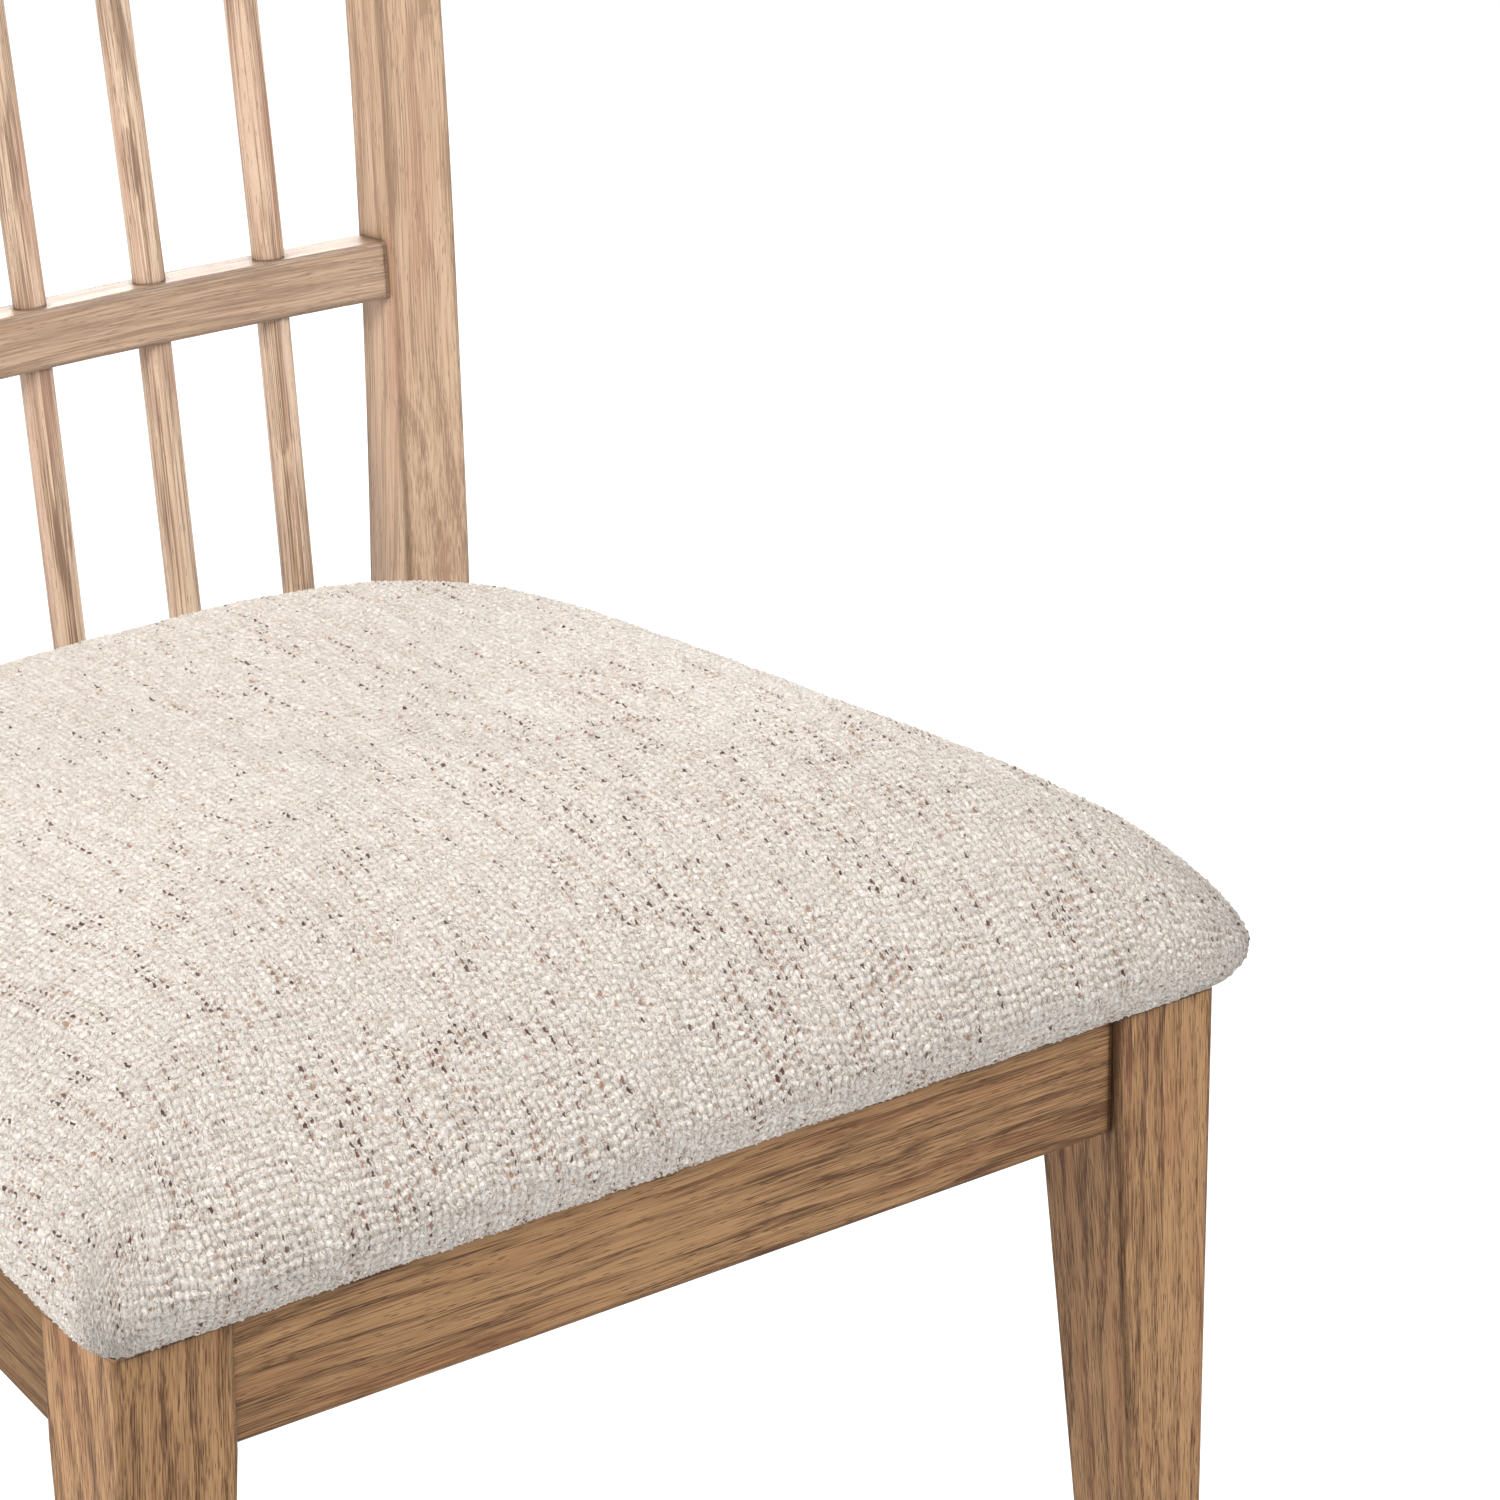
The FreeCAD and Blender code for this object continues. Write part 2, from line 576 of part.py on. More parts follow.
def chair():
    nodes = frame_nodes()
    nodes.update(seat_parts())
    nodes["dust_cover"] = dust_cover()
    fitted_blocks(nodes)
    fit_dowels(nodes)
    fit_spindles(nodes)
    fit_glides(nodes)
    return nodes


os.makedirs("parts", exist_ok=True)
for node, shape in chair().items():
    shape.translate(V(0, -Y_MID, 0))
    solids = shape.Solids
    print(node, len(solids), "solids", round(shape.Volume / 1000, 2), "cm3", shape.isValid())
    result = solids[0] if len(solids) == 1 else compound(solids)
    result.exportStep(f"parts/{node}.step")
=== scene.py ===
import math

import bpy
import numpy as np
from mathutils import Matrix, Vector


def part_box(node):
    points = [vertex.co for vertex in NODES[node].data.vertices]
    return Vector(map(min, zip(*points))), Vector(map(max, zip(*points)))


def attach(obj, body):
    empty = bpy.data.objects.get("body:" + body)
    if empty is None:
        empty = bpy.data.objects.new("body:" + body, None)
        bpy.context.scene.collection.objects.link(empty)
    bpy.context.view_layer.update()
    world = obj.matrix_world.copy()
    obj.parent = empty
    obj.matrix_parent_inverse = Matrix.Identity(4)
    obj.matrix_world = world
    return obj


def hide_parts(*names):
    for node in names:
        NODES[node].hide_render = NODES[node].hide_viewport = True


# Looks of the upholstered spindle-back chair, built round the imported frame. Metres, +Z up, +Y back.

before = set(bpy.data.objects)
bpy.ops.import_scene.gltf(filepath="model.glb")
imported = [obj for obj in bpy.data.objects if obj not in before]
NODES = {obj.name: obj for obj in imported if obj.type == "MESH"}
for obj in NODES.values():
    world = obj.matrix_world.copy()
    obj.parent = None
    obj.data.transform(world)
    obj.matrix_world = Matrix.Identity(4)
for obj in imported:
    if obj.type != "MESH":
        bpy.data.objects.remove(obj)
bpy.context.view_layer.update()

SEAT_LOW, SEAT_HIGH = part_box("seat_cover")
FRAME_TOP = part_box("front_apron")[1].z


# ---------------------------------------------------------------- camera and light

CAMERA_SPOT = (-1.18287, -1.84157, 1.33140)
CAMERA_AZIMUTH = -0.65404
CAMERA_ELEVATION = 0.38026
CAMERA_ROLL = -0.00749
CAMERA_LENS = 136.95
SENSOR_WIDTH = 36
FAR_LIMIT = 50
WARM_WHITE = (1.0, 0.985, 0.96)
PURE_WHITE = (1.0, 1.0, 1.0)
SKY_COLOUR = (0.97, 0.985, 1.0, 1)
SKY_STRENGTH = 0.33
# Each softbox has its place, aim, diameter, watts, colour and spread in degrees.
SOFTBOXES = {
    "top_softbox": ((0.2, 0.3, 2.6), (0, 0, 0.45), 2.0, 33, WARM_WHITE, 180),
    "left_softbox": ((-1.9, -0.35, 1.45), (-0.25, -0.2, 0.25), 0.8, 13, WARM_WHITE, 110),
    "front_softbox": ((1.3, -1.75, 1.9), (0.1, 0.0, 0.45), 0.8, 8.5, WARM_WHITE, 90),
    "back_softbox": ((1.45, 2.3, 1.52), (0, 0.1, 0.5), 1.3, 33, PURE_WHITE, 180),
}


def make_camera():
    data = bpy.data.cameras.new("camera")
    data.lens = CAMERA_LENS
    data.sensor_width = SENSOR_WIDTH
    data.clip_end = FAR_LIMIT
    az, el, roll = CAMERA_AZIMUTH, CAMERA_ELEVATION, CAMERA_ROLL
    back = Vector((math.sin(az) * math.cos(el), -math.cos(az) * math.cos(el), math.sin(el)))
    right = Vector((math.cos(az), math.sin(az), 0))
    up = back.cross(right)
    rolled_right = right * math.cos(roll) + up * math.sin(roll)
    rolled_up = up * math.cos(roll) - right * math.sin(roll)
    turn = Matrix((rolled_right, rolled_up, back)).transposed().to_4x4()
    camera = bpy.data.objects.new("camera", data)
    camera.matrix_world = Matrix.Translation(CAMERA_SPOT) @ turn
    bpy.context.scene.collection.objects.link(camera)
    bpy.context.scene.camera = camera


def area_light(name, place, aim, size, energy, colour, spread):
    data = bpy.data.lights.new(name, "AREA")
    data.shape = "DISK"
    data.size = size
    data.energy = energy
    data.color = colour
    data.spread = math.radians(spread)
    light = bpy.data.objects.new(name, data)
    light.location = place
    light.rotation_euler = (Vector(aim) - Vector(place)).to_track_quat("-Z", "Y").to_euler()
    light.visible_camera = False
    bpy.context.scene.collection.objects.link(light)


def make_light():
    world = bpy.data.worlds.new("studio")
    world.use_nodes = True
    sky = world.node_tree.nodes["Background"]
    sky.inputs["Color"].default_value = SKY_COLOUR
    sky.inputs["Strength"].default_value = SKY_STRENGTH
    scene = bpy.context.scene
    scene.world = world
    scene.view_settings.view_transform = "Standard"
    for name, settings in SOFTBOXES.items():
        area_light(name, *settings)


# ---------------------------------------------------------------- material building

class Nodes:
    """A node tree, with short calls for the nodes used here."""

    def __init__(self, tree):
        self.tree = tree

    def node(self, kind, settings=(), **inputs):
        """New node. An input is named with _ for each space, or i and its number."""
        made = self.tree.nodes.new(kind)
        for key, value in dict(settings).items():
            setattr(made, key, value)
        for key, value in inputs.items():
            self.feed(made.inputs[int(key[1:]) if key[1:].isdigit() else key.replace("_", " ")], value)
        return made

    def feed(self, socket, value):
        if isinstance(value, bpy.types.NodeSocket):
            self.tree.links.new(value, socket)
        else:
            socket.default_value = value

    def math(self, operation, a, b=0.0):
        return self.node("ShaderNodeMath", {"operation": operation}, i0=a, i1=b).outputs[0]

    def plus(self, a, b):
        return self.math("ADD", a, b)

    def minus(self, a, b):
        return self.math("SUBTRACT", a, b)

    def times(self, a, b):
        return self.math("MULTIPLY", a, b)

    def weighted(self, *terms):
        """Sum of (value, weight) terms."""
        total = self.times(*terms[0])
        for term in terms[1:]:
            total = self.plus(total, self.times(*term))
        return total

    def vector_math(self, operation, a, b=(0, 0, 0)):
        return self.node("ShaderNodeVectorMath", {"operation": operation}, i0=a, i1=b)

    def stretched(self, vector, scale):
        return self.vector_math("MULTIPLY", vector, scale).outputs[0]

    def added(self, vector, shift):
        return self.vector_math("ADD", vector, shift).outputs[0]

    def length(self, vector):
        return self.vector_math("LENGTH", vector).outputs["Value"]

    def turned(self, vector, rotation):
        return self.node("ShaderNodeMapping", Vector=vector, Rotation=rotation).outputs[0]

    def split(self, vector):
        return self.node("ShaderNodeSeparateXYZ", Vector=vector).outputs

    def joined(self, x, y, z=0.0):
        return self.node("ShaderNodeCombineXYZ", X=x, Y=y, Z=z).outputs[0]

    def noise(self, vector, frequency=(1, 1, 1), detail=2.0, rough=0.5, output="Fac"):
        """Noise whose frequency is given per metre along each axis."""
        place = self.stretched(vector, frequency)
        made = self.node("ShaderNodeTexNoise", Vector=place, Scale=1.0, Detail=detail, Roughness=rough)
        return made.outputs[output]

    def moved(self, vector, by, amount):
        """vector shifted by a colour noise, up to half the amount each way."""
        return self.added(vector, self.stretched(self.added(by, grey(-0.5)), amount))

    def chances(self, cell):
        """Three random numbers for each whole-numbered cell."""
        made = self.node("ShaderNodeTexWhiteNoise", {"noise_dimensions": "3D"}, Vector=cell)
        return self.split(made.outputs["Color"])

    def step(self, value, low, high, start=0.0, end=1.0):
        """value from low to high, as start to end with eased ends."""
        made = self.node("ShaderNodeMapRange", {"interpolation_type": "SMOOTHSTEP"}, Value=value)
        for key, number in (("From Min", low), ("From Max", high), ("To Min", start), ("To Max", end)):
            made.inputs[key].default_value = number
        return made.outputs["Result"]

    def mix(self, share, a, b):
        return self.node("ShaderNodeMix", {"data_type": "RGBA"}, i0=share, i6=a, i7=b).outputs[2]

    def ramp(self, value, stops):
        made = self.node("ShaderNodeValToRGB", Fac=value)
        band = made.color_ramp
        while len(band.elements) < len(stops):
            band.elements.new(0.5)
        for element, (spot, colour) in zip(band.elements, stops):
            element.position = spot
            element.color = (*colour, 1)
        return made.outputs["Color"]

    def bump(self, height, distance, strength=1.0):
        made = self.node("ShaderNodeBump", Height=height, Distance=distance, Strength=strength)
        return made.outputs["Normal"]


class Shader(Nodes):
    """The node tree of a new material."""

    def __init__(self, name):
        self.material = bpy.data.materials.new(name)
        self.material.use_nodes = True
        super().__init__(self.material.node_tree)
        self.tree.nodes.clear()

    def place(self):
        return self.node("ShaderNodeTexCoord").outputs["Object"]

    def finish(self, **inputs):
        surface = self.node("ShaderNodeBsdfPrincipled", **inputs).outputs[0]
        self.node("ShaderNodeOutputMaterial", Surface=surface)
        return self.material


def grey(value):
    return (value, value, value)


def dress(node, material):
    slots = NODES[node].data.materials
    if slots:
        for index in range(len(slots)):
            slots[index] = material
    else:
        slots.append(material)


# ---------------------------------------------------------------- wood

# The front, apron, side, back, rail and spindle finishes are one wood finish in copies made lighter or
# darker with painted light and shade for where each piece stands; the corner blocks' finish is their own.
# Each has three colours, the darkness of its pores, its specular level, the darkness of the painted shade
# in its joints, the frequency of its streaks along the grain, and the weight of its broad streaks.
FRONT_SHADED_WOOD = {"light": (0.425, 0.246, 0.119), "mid": (0.300, 0.165, 0.078), "dark": (0.105, 0.050, 0.024),
              "pores": 0.80, "sheen": 0.15, "glaze": 0.80, "run": 30, "broad": 0.20}
APRON_SHADED_WOOD = {**FRONT_SHADED_WOOD, "light": (0.400, 0.230, 0.110), "mid": (0.275, 0.152, 0.071)}
# The side aprons' copy is the darkest: painted shade of the seat's overhang.
SIDE_SHADED_WOOD = {"light": (0.232, 0.128, 0.054), "mid": (0.160, 0.085, 0.034), "dark": (0.078, 0.037, 0.015),
             "pores": 0.75, "sheen": 0.06, "glaze": 0.80, "run": 30, "broad": 0.20}
BACK_LIT_WOOD = {"light": (0.660, 0.455, 0.305), "mid": (0.550, 0.360, 0.225), "dark": (0.350, 0.212, 0.124),
             "pores": 0.75, "sheen": 0.90, "glaze": 0.35, "run": 20, "broad": 0.22}
RAIL_LIT_WOOD = {"light": (0.560, 0.385, 0.262), "mid": (0.440, 0.290, 0.190), "dark": (0.300, 0.185, 0.115),
             "pores": 0.62, "sheen": 0.90, "glaze": 0.45, "run": 20, "broad": 0.22}
# The spindles' heavy broad streaks stand in for lengthwise painted highlight and shade.
SPINDLE_LIT_WOOD = {"light": (0.800, 0.605, 0.445), "mid": (0.540, 0.368, 0.246),
                "dark": (0.235, 0.136, 0.080),
                "pores": 0.60, "sheen": 1.00, "glaze": 0.35, "run": 9, "broad": 0.55}
BLOCK_WOOD = {"light": (0.620, 0.470, 0.300), "mid": (0.540, 0.390, 0.230), "dark": (0.380, 0.250, 0.140),
              "pores": 0.50, "sheen": 0.20, "glaze": 0.20, "run": 38, "broad": 0.25}

# The axis that the grain follows, and the finish.
WOOD_NODES = {
    "front_apron": ("X", APRON_SHADED_WOOD),
    "front_left_leg": ("Z", FRONT_SHADED_WOOD),
    "front_right_leg": ("Z", FRONT_SHADED_WOOD),
    "left_side_apron": ("Y", SIDE_SHADED_WOOD),
    "right_side_apron": ("Y", SIDE_SHADED_WOOD),
    "rear_apron": ("X", RAIL_LIT_WOOD),
    "rear_left_leg": ("Z", BACK_LIT_WOOD),
    "rear_right_leg": ("Z", BACK_LIT_WOOD),
    "lower_back_rail": ("X", RAIL_LIT_WOOD),
    "crest_rail": ("X", BACK_LIT_WOOD),
    "front_left_corner_block": ("X", BLOCK_WOOD),
    "front_right_corner_block": ("X", BLOCK_WOOD),
    "rear_left_corner_block": ("X", BLOCK_WOOD),
    "rear_right_corner_block": ("X", BLOCK_WOOD),
    "front_apron_dowels": ("X", BLOCK_WOOD),
    "side_apron_dowels": ("Y", BLOCK_WOOD),
    "rear_apron_dowels": ("X", BLOCK_WOOD),
    "back_rail_dowels": ("X", BLOCK_WOOD),
}
SPINDLES = 5
BENT_NODES = ("lower_back_rail", "crest_rail", "rear_left_leg", "rear_right_leg")

# Frequencies are per metre, with the grain along Z.
GRAIN_TURN = {"X": (0, math.pi / 2, 0), "Y": (math.pi / 2, 0, 0), "Z": (0, 0, 0)}
SWAY_FREQUENCY = (14, 14, 5)
GRAIN_SWAY = (0.006, 0.006, 0)
STREAK_FREQUENCY = 1750
BROAD_FREQUENCY = (190, 190, 8)
CLOUD_FREQUENCY = (24, 24, 5)
RED_FREQUENCY = (90, 90, 7)
TONE_STOPS = (("dark", 0.385), ("mid", 0.495), ("light", 0.615))

RING_PITCH = 0.0085
RING_SWAY = (0.035, 0.035, 0)
HEART_DISTANCE = (0.04, 0.08)
HEART_TILT = 0.05

# Each pore layer has the width and length of its cells, the radius of a pore within its cell, and the
# crowding at which the first and the last cells get a pore.
FINE_PORE = (0.0008, 0.0100, 0.26, (0.48, 1.02))
LONG_PORE = (0.0012, 0.040, 0.17, (0.52, 0.95))
PORE_DEPTH = 0.00022

# How far the occlusion probes reach that place the painted edge highlight and the painted shade in joints.
EDGE_REACH = 0.0022
JOINT_REACH = 0.0065
REACH_SAMPLES = 12


def shaded(colour, factor):
    return (*[min(1.0, factor * c) for c in colour], 1)


def middle_line(node, axis):
    """How the middle of a piece drifts sideways along its grain: shift per metre and per metre squared."""
    mesh = NODES[node].data
    points = np.empty(3 * len(mesh.vertices))
    mesh.vertices.foreach_get("co", points)
    points = points.reshape(-1, 3)
    number = "XYZ".index(axis)
    bent = node in BENT_NODES
    terms = np.polyfit(points[:, number], points, 2 if bent else 1)
    slope, curve = terms[-2], terms[0] if bent else np.zeros(3)
    slope[number] = curve[number] = 0
    return tuple(-slope), tuple(-curve)


def grain_place(s, node, axis):
    """Place in a piece, straightened along its middle line and turned until its grain runs along Z."""
    place = s.place()
    slope, curve = middle_line(node, axis)
    along = s.split(place)["XYZ".index(axis)]
    for distance, drift in ((along, slope), (s.times(along, along), curve)):
        place = s.added(place, s.stretched(s.joined(distance, distance, distance), drift))
    return s.turned(place, GRAIN_TURN[axis])


def growth_bands(s, place, sway, rng):
    """Late wood of the growth rings round a heart outside the piece, from 0 to 1 across each ring."""
    heart = s.turned(place, (*rng.uniform(-HEART_TILT, HEART_TILT, 2), 0))
    heart = s.added(heart, (*rng.uniform(*HEART_DISTANCE, 2), 0))
    heart = s.moved(heart, sway, RING_SWAY)
    ring = s.math("FRACT", s.times(s.length(s.stretched(heart, (1, 1, 0))), 1 / RING_PITCH))
    return s.times(s.step(ring, 0.30, 0.92), s.step(ring, 1.0, 0.93))


def pore_layer(s, grain, crowd, layer):
    """Short dark dashes along the grain, one to a cell, in the cells that the crowding and chance pick."""
    width, length, radius, picked = layer
    cells = s.node("ShaderNodeTexVoronoi", Vector=s.stretched(grain, (1 / width, 1 / width, 1 / length)),
                   Scale=1.0)
    dash = s.step(cells.outputs["Distance"], radius * 0.6, radius, 1.0, 0.0)
    chance = s.split(cells.outputs["Color"])[0]
    return s.times(dash, s.step(s.plus(chance, crowd), *picked))


def closeness(s, reach, **settings):
    """1 in the open, falling to 0 where other surfaces stand close."""
    made = s.node("ShaderNodeAmbientOcclusion", {"samples": REACH_SAMPLES, **settings}, Distance=reach)
    return made.outputs["AO"]


def painted_edge_light_and_shade(s, colour, broad, tones):
    """The colour with a painted highlight on each eased edge, a broken painted line of shade behind each
    edge, and painted shade in the joints where other surfaces stand close.
    """
    edge = closeness(s, EDGE_REACH, inside=True, only_local=True)
    # Painted highlight along the eased edges.
    colour = s.mix(s.step(edge, 0.50, 0.72, 0.50, 0.0), colour, shaded(tones["light"], 1.12))
    # Painted line of shade just behind each edge, broken by the broad streaks.
    line = s.times(s.step(edge, 0.72, 0.82), s.step(edge, 0.92, 0.98, 1.0, 0.0))
    line = s.times(line, s.step(broad, 0.35, 0.60, 0.35, 0.90))
    colour = s.mix(line, colour, shaded(tones["dark"], 0.45))
    # Painted shade in joints and recesses, wide and narrow.
    wide_joint_shade = s.step(closeness(s, JOINT_REACH), 0.45, 0.90, tones["glaze"], 0.0)
    narrow_joint_shade = s.step(closeness(s, EDGE_REACH), 0.40, 0.72, 0.90, 0.0)
    for glaze in (wide_joint_shade, narrow_joint_shade):
        colour = s.mix(glaze, colour, shaded(tones["dark"], 0.22))
    return colour


def wood(node, axis, seed, tones):
    """Open-pored wood with growth bands and pores that follow the piece."""
    s = Shader("wood_" + node)
    place = grain_place(s, node, axis)
    rng = np.random.default_rng(seed)
    shifted = s.added(place, tuple(rng.uniform(3.0, 9.0, 3)))
    sway = s.noise(shifted, SWAY_FREQUENCY, output="Color")
    grain = s.moved(shifted, sway, GRAIN_SWAY)
    late = growth_bands(s, place, sway, rng)

    streak = s.noise(grain, (STREAK_FREQUENCY, STREAK_FREQUENCY, tones["run"]), 3.0, 0.6)
    broad = s.noise(grain, BROAD_FREQUENCY, 3.0, 0.6)
    cloud = s.noise(grain, CLOUD_FREQUENCY)
    tone = s.weighted((streak, 0.80), (s.minus(broad, 0.5), tones["broad"]), (cloud, 0.26), (late, -0.09))
    colour = s.ramp(tone, [(spot, tones[name]) for name, spot in TONE_STOPS])
    red, *others = tones["mid"]
    reddened = (red, *[0.72 * c for c in others], 1)
    colour = s.mix(s.step(s.noise(grain, RED_FREQUENCY), 0.50, 0.68, 0.0, 0.28), colour, reddened)

    crowd = s.weighted((broad, 0.55), (late, 0.20))
    fine, long = [pore_layer(s, grain, crowd, layer) for layer in (FINE_PORE, LONG_PORE)]
    pore = s.math("MAXIMUM", fine, long)
    colour = s.mix(s.times(pore, tones["pores"]), colour, shaded(tones["dark"], 0.62))
    return s.finish(
        Base_Color=painted_edge_light_and_shade(s, colour, broad, tones),
        Roughness=s.step(tone, 0.32, 0.62, 0.56, 0.44),
        Normal=s.bump(s.weighted((streak, 0.45), (pore, -1.0)), PORE_DEPTH, 0.7),
        Specular_IOR_Level=tones["sheen"],
    )


def dress_wood():
    nodes = dict(WOOD_NODES)
    for number in range(1, SPINDLES + 1):
        nodes[f"lower_spindle_{number}"] = ("Z", SPINDLE_LIT_WOOD)
        nodes[f"upper_spindle_{number}"] = ("Z", SPINDLE_LIT_WOOD)
    for seed, (node, (axis, tones)) in enumerate(sorted(nodes.items())):
        dress(node, wood(node, axis, seed, tones))


# ---------------------------------------------------------------- other frame materials

def plywood():
    s = Shader("plywood")
    place = s.place()
    layer = s.node("ShaderNodeTexWave", {"bands_direction": "Z"}, Vector=place, Scale=130.0,
                   Distortion=1.0)
    face = s.noise(place, (30, 500, 500), 3.0)
    ply = s.mix(s.step(layer.outputs["Fac"], 0.3, 0.7), (0.50, 0.34, 0.19, 1), (0.66, 0.49, 0.30, 1))
    return s.finish(
        Base_Color=s.mix(s.step(face, 0.35, 0.65, 0.0, 0.45), ply, (0.36, 0.22, 0.11, 1)),
        Roughness=s.step(face, 0.3, 0.7, 0.8, 0.6),
        Normal=s.bump(face, 0.0003),
    )


def zinc():
    s = Shader("zinc")
    place = s.place()
    spangle = s.node("ShaderNodeTexVoronoi", Vector=place, Scale=900.0).outputs["Color"]
    worn = s.noise(place, grey(700), 3.0)
    colour = s.mix(s.step(worn, 0.4, 0.7), (0.62, 0.60, 0.53, 1), (0.46, 0.44, 0.40, 1))
    return s.finish(
        Base_Color=s.mix(0.18, colour, spangle),
        Metallic=1.0,
        Roughness=s.step(worn, 0.3, 0.7, 0.28, 0.5),
        Normal=s.bump(worn, 0.0001),
    )


def nylon():
    s = Shader("glide_nylon")
    scuff = s.noise(s.place(), grey(420), 4.0)
    return s.finish(
        Base_Color=s.ramp(scuff, [(0.35, (0.035, 0.028, 0.024)), (0.65, (0.075, 0.062, 0.052))]),
        Roughness=s.step(scuff, 0.3, 0.7, 0.42, 0.6),
        Normal=s.bump(scuff, 0.0001),
    )


# ---------------------------------------------------------------- seat cushion surface

# The surface is built of nested outlines. Each is a rounded trapezoid, moved inward from the widest line.
FRONT_HALF, BACK_HALF = 0.2806, 0.2221
FRONT_Y, BACK_Y = SEAT_LOW.y, SEAT_HIGH.y
BULGE_Z = FRAME_TOP + 0.0218
CROWN_Z = FRAME_TOP + 0.1048
HALF_DEPTH = (BACK_Y - FRONT_Y) / 2
HALF_WIDTH = (FRONT_HALF + BACK_HALF) / 2
MIDDLE_Y = (FRONT_Y + BACK_Y) / 2
TAPER = (BACK_HALF - FRONT_HALF) / (2 * HALF_WIDTH)
# Superellipse exponents of the outline, where a larger one is squarer, and how soon the corners soften
# inward from it.
CORNERS = {"front": 27.7, "back": 3.26, "inner": 3.18, "front_under": 42.0, "back_under": 5.0}
CORNER_FADE = 0.14
# Tightness of the shoulder, and how soon the side's gives way to an end's.
ROLLS = {"front": 2.8, "side": 4.89, "back": 13.6}
ROLL_TURN = 2.31
ROLL_POWER = 1.35
UNDERROLL = 0.0165
FLANGE = 0.062
FLANGE_LIFT = 0.0009
RINGS = 240
UNDER_RINGS = 20
SHOULDER_SAMPLES = 1500
UNDER_SAMPLES = 150
FIRST_UNDER = 0.01
SIDE_SPOT = 0.3                 # where along a side the spacing of the rings is measured
PROBES = 64


def signed_power(value, power):
    return np.sign(value) * np.abs(value) ** power


def corner_power(inset, ahead, under):
    """Exponent of the outline at an inset, for its front or back half. It is squarest under the front."""
    outer = np.where(ahead, CORNERS["front"], CORNERS["back"])
    squarer = np.where(ahead, CORNERS["front_under"], CORNERS["back_under"])
    below = np.sin(under)
    depth = np.clip(inset / HALF_DEPTH, 0, 1)
    above = CORNERS["inner"] + (outer - CORNERS["inner"]) * np.exp(-depth / CORNER_FADE)
    return np.where(under > 0, outer + (squarer - outer) * below, above)


def roll_of(turn):
    """How tight the shoulder is in a direction seen from the middle."""
    end = np.where(np.sin(turn) < 0, ROLLS["front"], ROLLS["back"])
    toward_end = np.abs(np.sin(turn)) ** ROLL_TURN
    return ROLLS["side"] * (1 - toward_end) + end * toward_end


def seat_surface(across, along, inset, under):
    """Points of the seat's surface, and the outline's outward directions there. across and along give the
    direction on a square, inset how far inward from the widest line, and under the turn of the underside
    in radians, above zero below the widest line."""
    power = corner_power(inset, along < 0, under)
    size = (np.abs(across) ** power + np.abs(along) ** power) ** (1 / power)
    x_share, y_share = across / size, along / size
    turn = np.arctan2(signed_power(y_share, power / 2), signed_power(x_share, power / 2))
    y = y_share * (HALF_DEPTH - inset)
    x = x_share * (HALF_WIDTH - inset) * (1 + TAPER * y / HALF_DEPTH)
    share = np.clip(inset / HALF_DEPTH, 0, 1)
    rise = (1 - (1 - share) ** roll_of(turn)) ** (1 / ROLL_POWER)
    upper = BULGE_Z + (CROWN_Z - BULGE_Z) * rise
    lower = BULGE_Z - (BULGE_Z - FRAME_TOP) * np.sin(under)
    z = np.where(under > 0, lower, upper)
    outward = np.stack([signed_power(x_share, power - 1), signed_power(y_share, power - 1)], -1)
    outward /= np.maximum(np.linalg.norm(outward, axis=-1, keepdims=True), 1e-9)
    return np.stack([x, MIDDLE_Y + y, z], -1), outward


def seat_profile():
    """(inset, under) steps from the middle over the shoulder to the frame, finely divided."""
    above = HALF_DEPTH * (1 - np.linspace(0, 1, SHOULDER_SAMPLES) ** 0.6)
    turn = np.linspace(FIRST_UNDER, math.pi / 2, UNDER_SAMPLES)
    below = UNDERROLL * (1 - np.cos(turn))
    return np.concatenate([above, below]), np.concatenate([np.zeros(SHOULDER_SAMPLES), turn])


def even_steps(count):
    """The same steps, spaced evenly along the surface near the middle of a side."""
    insets, unders = seat_profile()
    one = np.ones_like(insets)
    points, _ = seat_surface(one, SIDE_SPOT * one, insets, unders)
    length = np.concatenate([[0], np.cumsum(np.linalg.norm(np.diff(points, axis=0), axis=1))])
    even = np.linspace(0, length[-1], count)
    return np.interp(even, length, insets), np.interp(even, length, unders)


def drawn_over(insets, unders, turn, ring):
    """How far the weave is drawn over the shoulder at each ring: surface length less plan distance."""
    probes = np.linspace(0, 2 * math.pi, PROBES, endpoint=False)[:, None]
    square = np.maximum(np.abs(np.cos(probes)), np.abs(np.sin(probes)))
    shape = (PROBES, len(insets))
    across = np.broadcast_to(np.cos(probes) / square, shape)
    along = np.broadcast_to(np.sin(probes) / square, shape)
    insets, unders = np.broadcast_to(insets, shape), np.broadcast_to(unders, shape)
    points, _ = seat_surface(across, along, insets, unders)
    steps = np.linalg.norm(np.diff(points, axis=1), axis=2)
    plan = np.diff(np.linalg.norm(points[..., :2] - np.array([0, MIDDLE_Y]), axis=2), axis=1)
    extra = np.concatenate([np.zeros((PROBES, 1)), np.cumsum(steps - plan, axis=1)], axis=1)
    probe = np.mod(turn, 2 * math.pi) / (2 * math.pi) * PROBES
    low = np.floor(probe).astype(int) % PROBES
    part = probe - np.floor(probe)
    return extra[low, ring] * (1 - part) + extra[(low + 1) % PROBES, ring] * part


def quad_grid(index):
    """Faces between neighbouring rows and columns of point numbers."""
    return np.stack([index[:-1, :-1], index[1:, :-1], index[1:, 1:], index[:-1, 1:]], -1).reshape(-1, 4)


